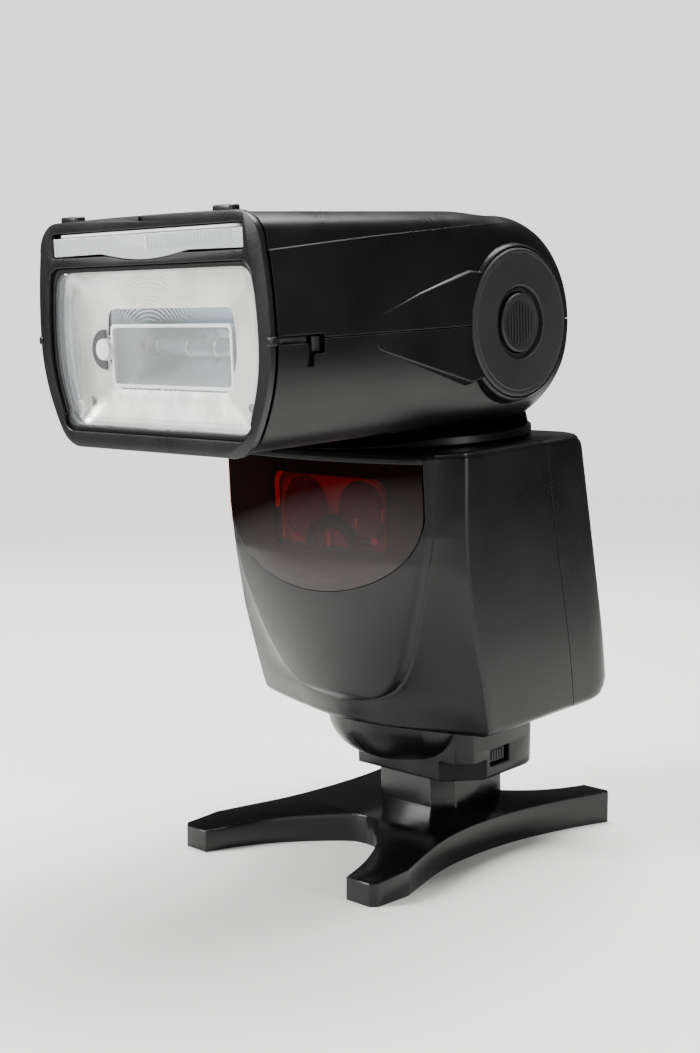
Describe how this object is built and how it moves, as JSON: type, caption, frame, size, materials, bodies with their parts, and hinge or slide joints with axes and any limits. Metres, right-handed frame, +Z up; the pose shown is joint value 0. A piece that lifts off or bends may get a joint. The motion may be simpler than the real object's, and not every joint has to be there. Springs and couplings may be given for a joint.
{
  "type": "speedlight flash on table stand",
  "caption": "Battery speedlight flash with a tilting, swivelling zoom head, pull-out cards, battery bay and control panel, seated on an X-shaped table stand.",
  "frame": {"origin": "middle of the whole object's outline on the table plane, under the stand", "axes": "+Z up from the table, -Y the way the flash window faces, +X the side with the release button"},
  "size_m": [0.071, 0.1134, 0.1394],
  "materials": {
    "satin_black": "fine-grained satin moulding",
    "rim_black": "satin moulding",
    "cap_grey": "matt, finely textured",
    "stand_black": "semi-gloss moulding",
    "clear": "clear moulded plastic",
    "tube_glass": "clear glass",
    "dark_red": "transparent dark red",
    "white": "plain white",
    "steel": "plain",
    "mirror": "bright reflector",
    "brass": "turned",
    "board": "circuit board",
    "cell_wrap": "printed sleeve without any words",
    "screen": "liquid crystal display",
    "rubber": "matt rubber"
  },
  "bodies": {
    "stand": {"stand_base": "stand_black", "tripod_bush": "brass"},
    "body": {"body_front_shell": "satin_black", "body_rear_shell": "satin_black", "red_window": "dark_red", "assist_reflector": "white", "assist_lamp": "clear", "assist_lens": "clear", "sensor_window": "dark_red", "battery_tray": "satin_black", "battery_cell_1": "cell_wrap", "battery_cell_2": "cell_wrap", "battery_cell_3": "cell_wrap", "battery_cell_4": "cell_wrap", "battery_contacts": "steel", "main_capacitor": "cell_wrap", "main_board": "board", "lcd_module": "screen", "lcd_window": "clear", "ready_lamp": "dark_red", "foot_block": "satin_black", "mounting_foot": "steel", "centre_contact": "brass"},
    "door_carrier": {"door_bracket": "steel"},
    "door": {"battery_door": "satin_black"},
    "mode_selector": {"mode_selector": "rubber"},
    "pattern_selector": {"pattern_selector": "rubber"},
    "menu_button": {"menu_button": "rubber"},
    "test_button": {"test_button": "rubber"},
    "sel_button": {"sel_button": "rubber"},
    "zoom_button": {"zoom_button": "rubber"},
    "selector_dial": {"selector_dial": "rubber"},
    "ok_button": {"ok_button": "rubber"},
    "power_switch": {"power_switch": "rubber"},
    "lock_lever": {"lock_lever": "rubber"},
    "locking_pin": {"locking_pin": "steel"},
    "neck": {"swivel_turret": "satin_black", "neck_drum": "satin_black", "tilt_axle": "steel", "turret_retainer": "steel", "head_cable": "satin_black"},
    "head": {"head_upper_shell": "satin_black", "head_lower_shell": "satin_black", "front_bezel": "rim_black", "fresnel_lens": "clear", "card_tray": "satin_black", "pivot_cap_left": "cap_grey", "pivot_cap_right": "cap_grey", "zoom_rod_left": "steel", "zoom_rod_right": "steel", "zoom_motor": "steel", "trigger_board": "board"},
    "release_button": {"release_button": "cap_grey"},
    "wide_panel": {"wide_panel": "clear"},
    "bounce_card": {"bounce_card": "white"},
    "zoom_carriage": {"zoom_carriage": "satin_black", "reflector": "mirror", "xenon_tube": "tube_glass", "tube_glass": "tube_glass"},
    "lead_screw": {"zoom_lead_screw": "brass"}
  },
  "joints": [
    {"name": "shoe_slide", "type": "slide", "parent": "stand", "child": "body", "axis": [0, 0.9988, 0.048], "range_m": [0, 0.026]},
    {"name": "head_swivel", "type": "hinge", "parent": "body", "child": "neck", "pos_m": [0, 0.0146, 0.1163], "axis": [0, -0.048, 0.9988], "range_deg": [-180, 180]},
    {"name": "head_tilt", "type": "hinge", "parent": "neck", "child": "head", "pos_m": [0, 0.0146, 0.1163], "axis": [-1, 0, 0], "range_deg": [-7, 90]},
    {"name": "release_press", "type": "slide", "parent": "head", "child": "release_button", "axis": [-1, 0, 0], "range_m": [0, 0.0015]},
    {"name": "wide_panel_slide", "type": "slide", "parent": "head", "child": "wide_panel", "axis": [0, -0.9988, -0.048], "range_m": [0, 0.04]},
    {"name": "bounce_card_slide", "type": "slide", "parent": "head", "child": "bounce_card", "axis": [0, -0.9988, -0.048], "range_m": [0, 0.04]},
    {"name": "zoom_travel", "type": "slide", "parent": "head", "child": "zoom_carriage", "axis": [0, 0.9988, 0.048], "range_m": [0, 0.0145]},
    {"name": "lead_screw_turn", "type": "hinge", "parent": "head", "child": "lead_screw", "pos_m": [0.0175, -0.01575, 0.10193], "axis": [0, 0.9988, 0.048], "range_deg": [0, 1741]},
    {"name": "door_slide", "type": "slide", "parent": "body", "child": "door_carrier", "axis": [0, 0.048, -0.9988], "range_m": [0, 0.003]},
    {"name": "door_swing", "type": "hinge", "parent": "door_carrier", "child": "door", "pos_m": [-0.0344, 0.02053, 0.03249], "axis": [0, -0.9988, -0.048], "range_deg": [0, 95]},
    {"name": "mode_select", "type": "slide", "parent": "body", "child": "mode_selector", "axis": [0, -0.2054, 0.9787], "range_m": [-0.0035, 0.0035]},
    {"name": "pattern_select", "type": "slide", "parent": "body", "child": "pattern_selector", "axis": [0, -0.2054, 0.9787], "range_m": [-0.0035, 0.0035]},
    {"name": "menu_press", "type": "slide", "parent": "body", "child": "menu_button", "axis": [0, -0.9787, -0.2054], "range_m": [0, 0.0008]},
    {"name": "test_press", "type": "slide", "parent": "body", "child": "test_button", "axis": [0, -0.9787, -0.2054], "range_m": [0, 0.0008]},
    {"name": "sel_press", "type": "slide", "parent": "body", "child": "sel_button", "axis": [0, -0.9787, -0.2054], "range_m": [0, 0.0008]},
    {"name": "zoom_press", "type": "slide", "parent": "body", "child": "zoom_button", "axis": [0, -0.9787, -0.2054], "range_m": [0, 0.0008]},
    {"name": "dial_turn", "type": "hinge", "parent": "body", "child": "selector_dial", "pos_m": [0, 0.05071, 0.04561], "axis": [0, 0.9787, 0.2054], "continuous": true},
    {"name": "ok_press", "type": "slide", "parent": "body", "child": "ok_button", "axis": [0, -0.9787, -0.2054], "range_m": [0, 0.001]},
    {"name": "power_turn", "type": "hinge", "parent": "body", "child": "power_switch", "pos_m": [-0.0205, 0.05071, 0.04561], "axis": [0, 0.9787, 0.2054], "range_deg": [0, 100]},
    {"name": "lock_turn", "type": "hinge", "parent": "body", "child": "lock_lever", "pos_m": [0, 0.03122, 0.02039], "axis": [0, -0.048, 0.9988], "range_deg": [0, 35]},
    {"name": "pin_drop", "type": "slide", "parent": "body", "child": "locking_pin", "axis": [0, 0.048, -0.9988], "range_m": [0, 0.0015]}
  ],
  "couplings": [
    {"joint": "lead_screw_turn", "follows": "zoom_travel", "rad_per_m": 2094.4},
    {"joint": "pin_drop", "follows": "lock_turn", "m_per_rad": 0.00245}
  ]
}
